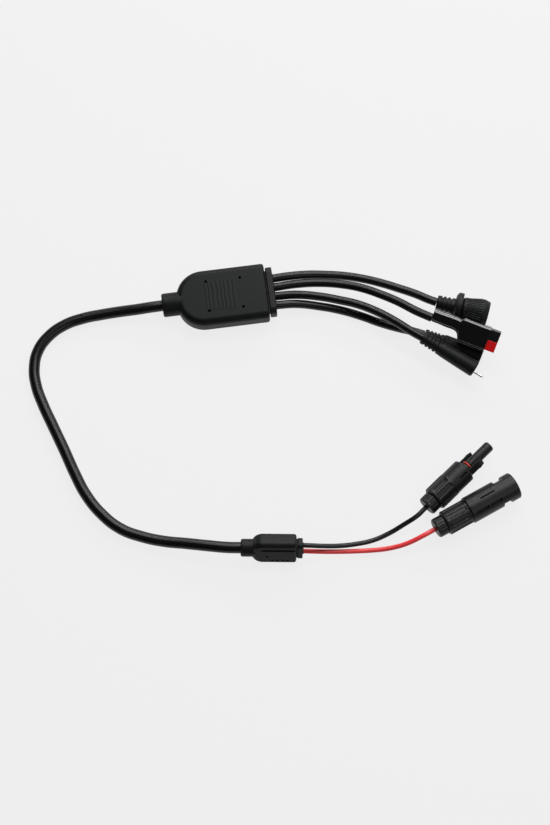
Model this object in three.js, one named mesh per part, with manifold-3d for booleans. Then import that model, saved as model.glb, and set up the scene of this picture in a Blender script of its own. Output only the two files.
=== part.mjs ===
// Solar charging adapter lead: two panel connectors join in a small Y splitter,
// one round cable runs to a four-way splitter, and four short leads end in four
// different plugs. Millimetres, +Z up. The origin is the centre of the underside
// of the four-way splitter, with +X towards its four outlets.

import * as THREE from 'three';
import { mergeVertices } from 'three/addons/utils/BufferGeometryUtils.js';
import Module from 'manifold-3d';

const wasm = await Module();
wasm.setup();

// ---------------------------------------------------------------------------
// Driving dimensions
// ---------------------------------------------------------------------------

const GAP = 0.3;                        // clearance between pieces that touch
const ROUND = 20;                       // facets on a main round surface
const FINE = 16;                        // facets on a small round surface
const CUT_PAST = 2;                     // how far a cutting block runs past a face

const CABLE = { main: 8.5, outlet: 6.5, wire: 3.6 };
const CABLE_SIDES = { main: 12, outlet: 8, wire: 8 };
const CABLE_STEPS = { main: 22, outlet: 9, wire: 11 };

const MAIN = {
  collarEnd: -42.5, collarRadius: 9, bodyStart: -32, bodyEnd: 36.8, halfWidth: 22,
  thickness: 18, noseRadius: 20.8, edge: 5, coreStart: -24, coreHalfWidth: 16,
  coreWall: 3, flangeStart: 37.7, flangeEnd: 42.5, flangeWidth: 38, flangeHeight: 15,
  flangeCorner: 5, spliceOffset: 7.5, spliceBore: 3.5, spliceEnd: 26,
  pitX: [-8.2, 17.8], pitY: 11.75, pitRadius: 1.1, pitDepth: 0.8,
};

const SMALL = {
  place: [-6.6, -192.6, 11.1], heading: -8, roll: 60,
  collarEnd: 0, collarRadius: 6.5, bodyStart: 7.5, bodyEnd: 40, halfWidth: 10.5,
  thickness: 13, noseRadius: 8, edge: 3.5, coreStart: 12, coreHalfWidth: 7,
  coreWall: 2.5, flangeStart: 40.8, flangeEnd: 44.5, flangeWidth: 15.5, flangeHeight: 9.5,
  flangeCorner: 3, spliceOffset: 3.25, spliceBore: 2.1, spliceEnd: 38,
};

const SOCKET = { place: [131.5, -180, 9.6], heading: 36.5, roll: -45 };
const PIN = { place: [135.4, -197.1, 10.3], heading: 21.6, roll: 10 };
const PANEL = {
  nutEnd: 7.7, nutRadius: 7.4, nutLip: 2.2, spigotStart: 2.6, spigotRadius: 5.6,
  wireHole: 2.25, rearBore: 4.4, cageStart: 2.9, cageEnd: 8.5, sealStart: 8.8,
  sealEnd: 16, rearBoreEnd: 16.6, contactBore: 2.4, ribCount: 10,
};
const PROBE = { shoulder: 40, start: 42.6, ringEnd: 44.8, end: 66.6, radius: 4, bore: 3.1 };
const LATCH = { start: 30, end: 53.6, inner: 5.5, outer: 7, barb: 0.5, width: 6, room: 0.5 };
const SHELL = {
  seam: 28, radius: 10.2, end: 67.6, mouth: 7, mouthStart: 33, neckHalf: 8.1, slotFloor: 6.9,
  slots: [[31, 41.3, -3.9, 1], [42.6, 52.4, -3.9, 1], [38, 50, 4.2, 0.5]],
};

const ROUND_PLUG = { place: [164.1, -25.5, 11.7], heading: -22.4, roll: 90 };
const PAIR = { place: [157, -40.5, 21.6], heading: -29.1, roll: 30 };
const SLIM_PLUG = { place: [148.3, -53.2, 16], heading: -38.4, pitch: -5.5, roll: 0 };
const BARREL = { place: [151.5, -48.2, 6.4], heading: -29.6, roll: 0 };

// Cable routes on their centre lines, from the splitter outwards.
const MAIN_ROUTE = [
  [-42.8, 0, 9], [-52, 0, 8.6], [-62, 0, 7.6], [-76, 0.4, 6], [-90, 0.2, 5],
  [-104, -0.8, 4.6], [-118, -4, 4.5], [-131, -11.2, 4.5], [-140.5, -22, 4.5],
  [-144.6, -35, 4.5], [-144.4, -49, 4.5], [-140.5, -65, 4.5], [-134.8, -82, 4.5],
  [-128.3, -101, 4.5], [-122, -120.5, 4.5], [-115.6, -137, 4.5], [-105.5, -153.2, 4.5],
  [-92.5, -166.2, 4.7], [-77.5, -174.2, 5.2], [-62, -179.8, 6.2], [-46, -183.8, 8],
  [-30.5, -187.8, 9.8], [-17, -191, 10.9], [-6.95, -192.55, 11.1],
];
const OUTLET_ROUTES = [
  [[42.8, 10.8, 9], [56, 11.2, 8.8], [70, 10.8, 8], [84, 9.1, 7.2], [97, 6.7, 6.8],
    [110.7, 2.7, 6.8], [124, -2.8, 7.6], [137, -9.5, 9], [149, -16.3, 10.6],
    [157.5, -21.9, 11.5], [163.4, -25.2, 11.7]],
  [[42.8, 3.6, 9], [60, 4, 9.2], [78, 2.3, 10], [96, -2.1, 11.6], [109, -7.4, 13.6],
    [121.7, -14.9, 16], [134, -23.5, 18.6], [145.5, -33, 21], [156.5, -40.2, 21.6]],
  [[42.8, -3.6, 9], [58.5, -4.8, 10], [76.5, -9.2, 11.4], [90, -13.8, 11.9],
    [103, -19.4, 13.6], [115, -26.6, 15.2], [123.5, -32.9, 16.2], [131.5, -39.5, 16.7],
    [140, -46.9, 16.6], [148.05, -53, 16.1]],
  [[42.8, -10.8, 9], [58, -11.4, 7.8], [75, -14.8, 5.8], [92, -20, 4.4], [106.5, -26.3, 3.5],
    [119.4, -33.2, 3.5], [133, -39.6, 4.3], [142, -43.6, 5.8], [150.9, -47.9, 6.4]],
];
const NEGATIVE_ROUTE = [
  [38.2, -197.2, 13.9], [43, -197.9, 13.4], [53, -199.2, 11.2], [65, -200.1, 8.4], [76.7, -199.9, 6],
  [89, -198.6, 4.2], [101, -195.3, 4.6], [113.5, -190.3, 7.2],
];
const POSITIVE_ROUTE = [
  [37.8, -200.4, 8.3], [43, -201.2, 8], [53, -202.6, 6.9], [64.3, -203.8, 5.4], [76, -204.8, 4.2],
  [88, -205.6, 3.4], [100, -205.9, 4.2], [113, -204.6, 7],
];
const WIRE_STRAIGHT = [-9, -3, 8, 20, 31.6];   // stations on a connector's axis, from its nut's face

// ---------------------------------------------------------------------------
// Materials
// ---------------------------------------------------------------------------

function plastic(color, roughness) {
  return new THREE.MeshStandardMaterial({ color, roughness, metalness: 0 });
}

function metal(color, roughness) {
  return new THREE.MeshStandardMaterial({ color, roughness, metalness: 1 });
}

const mouldedBlack = plastic(0x24262a, 0.55);
const jacketBlack = plastic(0x141415, 0.35);
const sleeveBlack = plastic(0x0b0c0d, 0.15);
const jacketRed = plastic(0xe6393d, 0.4);
const housingBlack = plastic(0x0e0e0f, 0.4);
const housingRed = plastic(0xd41214, 0.35);
const sealRed = plastic(0xc8201c, 0.45);
const sealGrey = plastic(0x3a3a3c, 0.6);
const cageNylon = plastic(0x2d2e30, 0.5);
const tinnedCopper = metal(0xc9c7bf, 0.28);
const nickel = metal(0xb9b8b3, 0.25);
const springSteel = metal(0xa9abad, 0.3);

// ---------------------------------------------------------------------------
// Solid helpers
// ---------------------------------------------------------------------------

/** Triangles of an indexed geometry with slivers dropped and every face turned outwards. */
function outwardFaces(geometry) {
  const corners = geometry.getAttribute('position');
  const index = geometry.getIndex().array;
  const faces = [];
  const a = new THREE.Vector3();
  const b = new THREE.Vector3();
  const c = new THREE.Vector3();
  let volume = 0;
  for (let i = 0; i < index.length; i += 3) {
    const [p, q, r] = [index[i], index[i + 1], index[i + 2]];
    if (p === q || q === r || r === p) continue;
    a.fromBufferAttribute(corners, p);
    b.fromBufferAttribute(corners, q);
    c.fromBufferAttribute(corners, r);
    volume += a.dot(b.cross(c));
    faces.push(p, q, r);
  }
  if (volume < 0) faces.reverse();
  return new Uint32Array(faces);
}

/** A closed three.js geometry as a Manifold solid. */
function toSolid(geometry) {
  const plain = geometry.clone();
  plain.deleteAttribute('normal');
  plain.deleteAttribute('uv');
  const merged = mergeVertices(plain, 1e-4);
  const vertProperties = new Float32Array(merged.getAttribute('position').array);
  return new wasm.Manifold(new wasm.Mesh({
    numProp: 3, vertProperties, triVerts: outwardFaces(merged),
  }));
}

/** A Manifold solid as a three.js geometry. */
function toGeometry(solid) {
  const mesh = solid.getMesh();
  const geometry = new THREE.BufferGeometry();
  geometry.setAttribute('position', new THREE.BufferAttribute(mesh.vertProperties, 3));
  geometry.setIndex(new THREE.BufferAttribute(mesh.triVerts, 1));
  return geometry;
}

/** Joins geometries into one body. */
function join(first, ...others) {
  return toGeometry(others.reduce((solid, other) => solid.add(toSolid(other)), toSolid(first)));
}

/** Cuts the tools out of a geometry. */
function cut(body, ...tools) {
  return toGeometry(tools.reduce((solid, tool) => solid.subtract(toSolid(tool)), toSolid(body)));
}

// ---------------------------------------------------------------------------
// Shape helpers. Pieces of a connector are drawn along +X from its rear face.
// ---------------------------------------------------------------------------

/** A turned body about the X axis. The profile is a list of [x, radius]. */
function turned(profile, facets = ROUND) {
  const points = profile.map(([x, radius]) => new THREE.Vector2(radius, x));
  return new THREE.LatheGeometry(points, facets).rotateZ(-Math.PI / 2);
}

/** A solid turned body: the profile's ends are closed to the axis. */
function turnedSolid(profile, facets = ROUND) {
  const last = profile[profile.length - 1];
  return turned([[profile[0][0], 0], ...profile, [last[0], 0]], facets);
}

/** A plain rod along X. */
function rod(start, end, radius, facets = FINE, y = 0, z = 0) {
  return turnedSolid([[start, radius], [end, radius]], facets).translate(0, y, z);
}

/** A ring along X between two radii. */
function ring(start, end, inner, outer, facets = FINE) {
  return turned([[start, inner], [start, outer], [end, outer], [end, inner], [start, inner]], facets);
}

/** A range with its lower end first. */
function ordered(a, b) {
  return [Math.min(a, b), Math.max(a, b)];
}

/** A block given by its ranges on the three axes. */
function block([x0, x1], [y0, y1], [z0, z1]) {
  return new THREE.BoxGeometry(x1 - x0, y1 - y0, z1 - z0)
    .translate((x0 + x1) / 2, (y0 + y1) / 2, (z0 + z1) / 2);
}

/** A bar along X whose section is a rectangle with round corners. */
function roundedBar(start, end, width, height, corner) {
  const shape = new THREE.Shape();
  const y = width / 2 - corner;
  const z = height / 2 - corner;
  shape.absarc(y, z, corner, 0, Math.PI / 2);
  shape.absarc(-y, z, corner, Math.PI / 2, Math.PI);
  shape.absarc(-y, -z, corner, Math.PI, Math.PI * 1.5);
  shape.absarc(y, -z, corner, Math.PI * 1.5, Math.PI * 2);
  const geometry = new THREE.ExtrudeGeometry(shape, {
    depth: end - start, bevelEnabled: false, curveSegments: 5,
  });
  const turn = new THREE.Matrix4().makeBasis(
    new THREE.Vector3(0, 1, 0), new THREE.Vector3(0, 0, 1), new THREE.Vector3(1, 0, 0));
  return geometry.applyMatrix4(turn).translate(start, 0, 0);
}

/** A flat outline made into a body of a given thickness, with rounded rims, centred on z = 0. */
function pillow(shape, thickness, edge, steps = 3) {
  return new THREE.ExtrudeGeometry(shape, {
    depth: thickness - 2 * edge, bevelThickness: edge, bevelSize: edge, bevelOffset: -edge,
    bevelSegments: steps, curveSegments: 8,
  }).translate(0, 0, edge - thickness / 2);
}

/** Straight ribs spaced evenly round the X axis. */
function ribs(count, [start, end], [inner, outer], width) {
  return Array.from({ length: count }, (_, i) =>
    block([start, end], [-width / 2, width / 2], [inner, outer])
      .rotateX((i + 0.5) * 2 * Math.PI / count));
}

/** A round cable along a route. */
function cable(route, kind) {
  const points = route.map((p) => new THREE.Vector3(...p));
  const path = new THREE.CatmullRomCurve3(points, false, 'centripetal');
  const shape = new THREE.Shape();
  const sides = CABLE_SIDES[kind];
  for (let i = 0; i < sides; i += 1) {
    const angle = (i + 0.5) * 2 * Math.PI / sides;
    const [x, y] = [Math.cos(angle) * CABLE[kind] / 2, Math.sin(angle) * CABLE[kind] / 2];
    if (i === 0) shape.moveTo(x, y);
    else shape.lineTo(x, y);
  }
  shape.closePath();
  return new THREE.ExtrudeGeometry(shape, {
    steps: CABLE_STEPS[kind], bevelEnabled: false, extrudePath: path,
  });
}

/** One named piece. */
function piece(name, geometry, material) {
  const mesh = new THREE.Mesh(toGeometry(toSolid(geometry)), material.clone());
  mesh.name = name;
  return mesh;
}

/** A group that stands at a connector's rear face, with +X along its axis. */
function standing({ place, heading, pitch = 0, roll }, pieces) {
  const group = new THREE.Group();
  const radians = THREE.MathUtils.degToRad;
  group.position.set(...place);
  group.rotation.set(radians(roll), radians(-pitch), radians(heading), 'ZYX');
  group.add(...pieces);
  return group;
}

// ---------------------------------------------------------------------------
// Splitters
// ---------------------------------------------------------------------------

/** Plan outline with a round nose at the left, run past its right end to be cut square. */
function noseOutline({ bodyStart, bodyEnd, halfWidth, noseRadius, edge }) {
  const right = bodyEnd + 2 * edge;
  const centre = bodyStart + noseRadius;
  const shape = new THREE.Shape();
  shape.moveTo(right, -halfWidth);
  shape.lineTo(right, halfWidth);
  shape.absarc(centre, halfWidth - noseRadius, noseRadius, Math.PI / 2, Math.PI);
  shape.absarc(centre, noseRadius - halfWidth, noseRadius, Math.PI, Math.PI * 1.5);
  shape.closePath();
  return shape;
}

/** Soft outer moulding of a splitter, open at the outlet end where the core sits. */
function splitterOvermould(size) {
  const half = size.thickness / 2;
  const core = half - size.coreWall;
  const body = pillow(noseOutline(size), size.thickness, size.edge);
  const past = [size.bodyEnd, size.bodyEnd + 4 * size.edge];
  const square = block(past, [-size.halfWidth - 1, size.halfWidth + 1], [-half - 1, half + 1]);
  const collar = rod(size.collarEnd, size.bodyStart + size.noseRadius / 2, size.collarRadius, ROUND);
  const pocket = block([size.coreStart, size.bodyEnd + CUT_PAST],
    [-size.coreHalfWidth, size.coreHalfWidth], [-core, core]);
  return cut(join(body, collar), square, pocket);
}

/** Hard inner core with its visible outlet flange and two blind bores for the splices. */
function splitterCore(size) {
  const core = size.thickness / 2 - size.coreWall - GAP;
  const width = size.coreHalfWidth - GAP;
  const bar = block([size.coreStart + GAP, size.flangeStart + 1], [-width, width], [-core, core]);
  const flange = roundedBar(size.flangeStart, size.flangeEnd,
    size.flangeWidth, size.flangeHeight, size.flangeCorner);
  const bores = [1, -1].map((side) => rod(size.coreStart - CUT_PAST, size.spliceEnd,
    size.spliceBore, FINE, side * size.spliceOffset));
  return cut(join(bar, flange), ...bores);
}

/** Crimped copper splice: one tail in, a barrel, one thicker tail out. */
function splice(size, side) {
  const start = size.coreStart + 2 * GAP;
  const end = size.spliceEnd - GAP;
  const step = (end - start) / 3;
  const barrel = size.spliceBore - GAP;
  return turnedSolid([
    [start, barrel * 0.55], [start + step, barrel * 0.55], [start + step, barrel],
    [end - step, barrel], [end - step, barrel * 0.7], [end, barrel * 0.7],
  ], FINE).translate(0, side * size.spliceOffset, 0);
}

function mainSplitter() {
  const top = MAIN.thickness / 2;
  const pits = MAIN.pitX.flatMap((x) => [1, -1].map((side) =>
    new THREE.CylinderGeometry(MAIN.pitRadius, MAIN.pitRadius, 2 * MAIN.pitDepth, 12)
      .rotateX(Math.PI / 2).translate(x, side * MAIN.pitY, top)));
  return standing({ place: [0, 0, top], heading: 0, roll: 0 }, [
    piece('main_splitter_overmould', cut(splitterOvermould(MAIN), ...pits), mouldedBlack),
    piece('main_splitter_core', splitterCore(MAIN), mouldedBlack),
    piece('main_positive_splice', splice(MAIN, 1), tinnedCopper),
    piece('main_negative_splice', splice(MAIN, -1), tinnedCopper),
  ]);
}

function smallSplitter() {
  return standing(SMALL, [
    piece('y_splitter_overmould', splitterOvermould(SMALL), mouldedBlack),
    piece('y_splitter_core', splitterCore(SMALL), mouldedBlack),
    piece('y_negative_splice', splice(SMALL, 1), tinnedCopper),
    piece('y_positive_splice', splice(SMALL, -1), tinnedCopper),
  ]);
}

// ---------------------------------------------------------------------------
// Panel connectors
// ---------------------------------------------------------------------------

/** Gland nut: a lip with the wire hole and a skirt that covers the threaded spigot. */
function glandNut() {
  const { nutEnd, nutRadius, nutLip, spigotRadius, wireHole } = PANEL;
  const bore = spigotRadius + GAP;
  return turned([
    [0, wireHole], [0, nutRadius - 0.8], [0.8, nutRadius], [nutEnd, nutRadius], [nutEnd, bore],
    [nutLip, bore], [nutLip, wireHole], [0, wireHole],
  ]);
}

/** Slit cage that the nut squeezes round the wire. */
function clampCage() {
  const outer = PANEL.rearBore - GAP;
  const slots = [0, 1].map((i) => block([PANEL.cageStart - 1, PANEL.cageStart + 3],
    [-0.4, 0.4], [-outer - 1, outer + 1]).rotateX(i * Math.PI / 2));
  return cut(ring(PANEL.cageStart, PANEL.cageEnd, PANEL.wireHole, outer), ...slots);
}

function cableSeal() {
  return ring(PANEL.sealStart, PANEL.sealEnd, PANEL.wireHole, PANEL.rearBore - GAP);
}

/** Rear half that both housings share: spigot, gland bore and a ribbed grip. */
function housingRear(reach) {
  const body = turnedSolid([
    [PANEL.spigotStart, PANEL.spigotRadius], [8, PANEL.spigotRadius], [8, 8.4], [9, 8.8],
    [reach, 8.8],
  ]);
  return join(body, ...ribs(PANEL.ribCount, [9, reach - 2], [7, 9.4], 2.2));
}

/** Bores shared by both housings: the gland bore and the contact's way through. */
function housingBores(contactEnd) {
  return [
    rod(PANEL.spigotStart - CUT_PAST, PANEL.rearBoreEnd, PANEL.rearBore),
    rod(PANEL.rearBoreEnd - 1, contactEnd, PANEL.contactBore),
  ];
}

/** Crimp barrel and body of a contact, drawn from the end of the wire. */
function contactProfile(barrelEnd, barrel) {
  const start = WIRE_STRAIGHT[WIRE_STRAIGHT.length - 1] + GAP;
  return [[start, barrel], [barrelEnd, barrel]];
}

/** Sprung finger beside the probe, with a barb near its tip. */
function latch(side) {
  const { start, end, inner, outer, barb, width } = LATCH;
  const shape = new THREE.Shape();
  shape.moveTo(start, inner * side);
  shape.lineTo(end, inner * side);
  shape.lineTo(end, (outer - barb) * side);
  shape.lineTo(end - 4, (outer + barb) * side);
  shape.lineTo(end - 6, outer * side);
  shape.lineTo(start, outer * side);
  shape.closePath();
  return new THREE.ExtrudeGeometry(shape, { depth: width, bevelEnabled: false })
    .translate(0, 0, -width / 2);
}

function socketConnector() {
  const front = turnedSolid([
    [24, 8.8], [26, 9.2], [PROBE.shoulder, 9.2], [PROBE.shoulder, 4.9], [PROBE.start, 4.9],
    [PROBE.start, 3.4], [PROBE.ringEnd, 3.4], [PROBE.ringEnd, PROBE.radius],
    [PROBE.end, PROBE.radius],
  ]);
  const windows = [1, -1].map((side) => {
    const depth = ordered(side * (LATCH.inner - LATCH.room), side * (LATCH.outer + GAP));
    const half = LATCH.width / 2 + GAP;
    return block([LATCH.start - GAP, PROBE.shoulder + CUT_PAST], depth, [-half, half]);
  });
  const housing = cut(join(housingRear(25), front), ...windows,
    ...housingBores(36), rod(31, PROBE.end + CUT_PAST, PROBE.bore));
  const contact = cut(
    turnedSolid([...contactProfile(38, 2.1), [38, 2.8], [PROBE.end - 2, 2.8]], FINE),
    rod(40, PROBE.end + CUT_PAST, 2.05, FINE));
  return standing(SOCKET, [
    piece('socket_housing', housing, mouldedBlack),
    piece('socket_latch_a', latch(-1), mouldedBlack),
    piece('socket_latch_b', latch(1), mouldedBlack),
    piece('socket_o_ring', ring(43, 44.4, 3.7, 4.8), sealRed),
    piece('socket_contact', contact, tinnedCopper),
    piece('socket_cable_seal', cableSeal(), sealGrey),
    piece('socket_clamp_cage', clampCage(), cageNylon),
    piece('socket_gland_nut', glandNut(), mouldedBlack),
  ]);
}

function pinConnector() {
  const front = turnedSolid([
    [27, 9.4], [SHELL.seam, SHELL.radius], [SHELL.end - 0.8, SHELL.radius],
    [SHELL.end, SHELL.radius - 0.8],
  ]);
  const notches = [1, -1].map((side) => {
    const reach = ordered(side * SHELL.neckHalf, side * 12);
    return block([52.8, 60.2], reach, [-12, 12]);
  });
  const slots = [1, -1].flatMap((top) => SHELL.slots.map(([start, end, y, half]) =>
    block([start, end], [y * top - half, y * top + half], ordered(top * SHELL.slotFloor, top * 12))));
  const housing = cut(join(housingRear(27.5), front), ...notches, ...slots,
    ...housingBores(34), rod(SHELL.mouthStart, SHELL.end + CUT_PAST, SHELL.mouth, ROUND));
  const contact = turnedSolid([
    ...contactProfile(35, 2.1), [35, 2], [58, 2], [59.4, 1.5], [60, 0.6],
  ], FINE);
  return standing(PIN, [
    piece('pin_housing', housing, mouldedBlack),
    piece('pin_contact', contact, tinnedCopper),
    piece('pin_cable_seal', cableSeal(), sealGrey),
    piece('pin_clamp_cage', clampCage(), cageNylon),
    piece('pin_gland_nut', glandNut(), mouldedBlack),
  ]);
}

// ---------------------------------------------------------------------------
// The four outlet plugs
// ---------------------------------------------------------------------------

/** Boot profile with ring grooves, from its rear end to its front end. */
function groovedBoot(length, rear, front, depth, count) {
  const pitch = length / (count + 1);
  const width = pitch * 0.4;
  const profile = [[0, rear]];
  for (let i = 1; i <= count; i += 1) {
    const x = i * pitch;
    const radius = rear + (front - rear) * x / length;
    profile.push([x - width / 2, radius], [x - width / 2, radius - depth],
      [x + width / 2, radius - depth], [x + width / 2, radius]);
  }
  profile.push([length, front]);
  return profile;
}

function roundPlug() {
  const boot = turnedSolid([
    ...groovedBoot(13, 5.6, 6.3, 1, 3), [13.4, 9.5], [14.6, 11.4], [16, 11.6], [18.4, 11.6],
    [18.4, 6.6], [25.2, 6.6],
  ]);
  const nut = turned([
    [18.8, 7], [18.8, 8.4], [20, 8.9], [24, 9.2], [31.5, 10.9], [35, 11], [39, 9.8], [39, 8.6],
    [25.2, 8.6], [25.2, 7], [18.8, 7],
  ]);
  const insert = cut(rod(25.5, 33, 8.2, ROUND), ...[1, -1].map((side) =>
    rod(29, 35, 1.3, 12, side * 3.8)));
  const contact = (side) => rod(29.3, 37.6, 1, 12, side * 3.8);
  return standing(ROUND_PLUG, [
    piece('round_plug_boot', boot, mouldedBlack),
    piece('round_plug_coupling_nut', nut, mouldedBlack),
    piece('round_plug_insert', insert, housingBlack),
    piece('round_plug_contact_a', contact(1), nickel),
    piece('round_plug_contact_b', contact(-1), nickel),
  ]);
}

/** Plan outline of the shrunk sleeve: a narrow tail that steps out to the two housings. */
function sleeveOutline() {
  const shape = new THREE.Shape();
  shape.moveTo(0, 8.2);
  shape.lineTo(0, -2.6);
  shape.lineTo(15, -2.6);
  shape.bezierCurveTo(20, -2.8, 22, -5, 22.6, -9.1);
  shape.lineTo(44.2, -9.1);
  shape.lineTo(44.2, 9.1);
  shape.lineTo(23, 9.1);
  shape.lineTo(19, 8.2);
  shape.closePath();
  return shape;
}

function pairedPlug() {
  const outer = 7.9;
  const length = [26, 51.6];
  const sleeve = cut(pillow(sleeveOutline(), 10.6, 2.6, 2),
    block([25.4, 46], [-8.35, 8.35], [-outer / 2 - GAP, outer / 2 + GAP]));
  const housing = (side) => {
    const middle = side * (outer / 2 + GAP / 2);
    const mouth = block([37, 54], [middle - 2.7, middle + 2.7], [-2.9, 2.9]);
    const bore = rod(length[0] - 1, 38, 2.2, FINE, middle);
    return cut(block(length, [middle - outer / 2, middle + outer / 2], [-outer / 2, outer / 2]),
      mouth, bore);
  };
  const contact = (side) => join(
    rod(27, 37.5, 1.8, FINE, side * 4.1),
    block([37, 49.5], [side * 4.1 - 2, side * 4.1 + 2], [0.2, 1.6]));
  const leaf = (side) => block([38, 50], [side * 4.1 - 1.9, side * 4.1 + 1.9], [-1.6, -1.1]);
  return standing(PAIR, [
    piece('pair_sleeve', sleeve, sleeveBlack),
    piece('pair_black_housing', housing(1), housingBlack),
    piece('pair_red_housing', housing(-1), housingRed),
    piece('pair_negative_contact', contact(1), tinnedCopper),
    piece('pair_positive_contact', contact(-1), tinnedCopper),
    piece('pair_negative_leaf_spring', leaf(1), springSteel),
    piece('pair_positive_leaf_spring', leaf(-1), springSteel),
  ]);
}

function slimPlug() {
  const body = cut(turnedSolid([
    ...groovedBoot(16, 4.7, 5.3, 0.8, 4), [17, 5.5], [44.6, 6.4], [45.4, 5.8],
  ]), rod(33, 47, 1.3, 12, -2.3), rod(33, 47, 1.8, 12, 2.3));
  return standing(SLIM_PLUG, [
    piece('slim_plug_body', body, mouldedBlack),
    piece('slim_plug_pin', rod(33.3, 53.4, 1, 12, -2.3), nickel),
    piece('slim_plug_socket', ring(33.3, 44.8, 0.95, 1.5, 12).translate(0, 2.3, 0), nickel),
  ]);
}

function barrelJack() {
  const body = cut(turnedSolid([
    ...groovedBoot(14, 4.6, 5.2, 0.8, 4), [15.5, 5.9], [44.8, 6.3], [45.5, 5.8],
  ]), rod(33, 47, 4.3, FINE), rod(28, 34, 1.3, 12));
  return standing(BARREL, [
    piece('barrel_jack_body', body, mouldedBlack),
    piece('barrel_jack_sleeve', ring(33.3, 44.6, 3.4, 4), nickel),
    piece('barrel_jack_centre_pin', rod(28.3, 43.5, 1, 12), nickel),
  ]);
}

// ---------------------------------------------------------------------------
// Cables
// ---------------------------------------------------------------------------

/** A route that runs on along a connector's axis to its contact. */
function intoConnector(route, { place, heading }) {
  const turn = THREE.MathUtils.degToRad(heading);
  const straight = WIRE_STRAIGHT.map((x) =>
    [place[0] + x * Math.cos(turn), place[1] + x * Math.sin(turn), place[2]]);
  return [...route, ...straight];
}

function cables() {
  const group = new THREE.Group();
  group.add(piece('main_cable', cable(MAIN_ROUTE, 'main'), jacketBlack));
  OUTLET_ROUTES.forEach((route, i) =>
    group.add(piece(`outlet_cable_${i + 1}`, cable(route, 'outlet'), jacketBlack)));
  const negative = cable(intoConnector(NEGATIVE_ROUTE, SOCKET), 'wire');
  const positive = cable(intoConnector(POSITIVE_ROUTE, PIN), 'wire');
  group.add(piece('negative_wire', negative, jacketBlack));
  group.add(piece('positive_wire', positive, jacketRed));
  return group;
}

const lead = new THREE.Group();
lead.add(mainSplitter(), smallSplitter(), cables());
lead.add(socketConnector(), pinConnector());
lead.add(roundPlug(), pairedPlug(), slimPlug(), barrelJack());

export default lead;
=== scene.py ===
"""Solar adapter lead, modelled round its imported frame.

Two panel connectors join in a small Y splitter. One round cable runs from it to a flat
four-way splitter, whose short leads end in a round screw-coupled plug, a paired plug, a
slim in-line plug and a barrel jack. Shapes are drawn in millimetres along each piece's own
axis, and their places are put into the meshes in metres.
"""

import logging
import math
from collections.abc import Callable, Iterable, Sequence
from dataclasses import dataclass, field
from enum import Enum

import bmesh
import bpy
from mathutils import Matrix, Vector, noise


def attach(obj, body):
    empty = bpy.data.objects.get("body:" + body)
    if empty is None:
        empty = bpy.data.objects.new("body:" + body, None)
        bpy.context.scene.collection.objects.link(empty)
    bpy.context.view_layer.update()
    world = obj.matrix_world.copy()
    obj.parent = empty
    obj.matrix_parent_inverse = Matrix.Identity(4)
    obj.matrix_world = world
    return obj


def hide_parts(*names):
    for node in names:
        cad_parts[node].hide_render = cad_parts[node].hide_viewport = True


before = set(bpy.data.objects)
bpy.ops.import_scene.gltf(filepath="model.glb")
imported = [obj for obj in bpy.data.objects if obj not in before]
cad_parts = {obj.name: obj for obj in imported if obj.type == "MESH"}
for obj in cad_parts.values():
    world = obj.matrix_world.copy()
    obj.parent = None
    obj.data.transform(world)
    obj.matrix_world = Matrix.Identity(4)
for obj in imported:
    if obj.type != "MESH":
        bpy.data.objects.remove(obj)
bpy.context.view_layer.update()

MM = 0.001
FULL_TURN = 2 * math.pi
SMOOTH_ANGLE = math.radians(38)
X_AXIS = Vector((1, 0, 0))
LOG = logging.getLogger("solar_lead")

Point = tuple[float, float, float]
Profile = Sequence[tuple[float, float]]


# ---- Shader graph ----

class Signal:
    """A number socket that takes part in arithmetic by adding Math nodes."""

    def __init__(self, graph: "Graph", socket: bpy.types.NodeSocket) -> None:
        """Wraps an output socket of a graph."""
        self.graph = graph
        self.socket = socket

    def _math(self, operation: str, first: object, second: object) -> "Signal":
        """Adds one Math node and returns its result."""
        return self.graph.node("ShaderNodeMath", {"operation": operation}, {0: first, 1: second})

    def __add__(self, other: object) -> "Signal":
        """Returns self + other."""
        return self._math("ADD", self, other)

    def __sub__(self, other: object) -> "Signal":
        """Returns self - other."""
        return self._math("SUBTRACT", self, other)

    def __rsub__(self, other: object) -> "Signal":
        """Returns other - self."""
        return self._math("SUBTRACT", other, self)

    def __mul__(self, other: object) -> "Signal":
        """Returns self * other."""
        return self._math("MULTIPLY", self, other)

    __radd__ = __add__
    __rmul__ = __mul__


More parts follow.
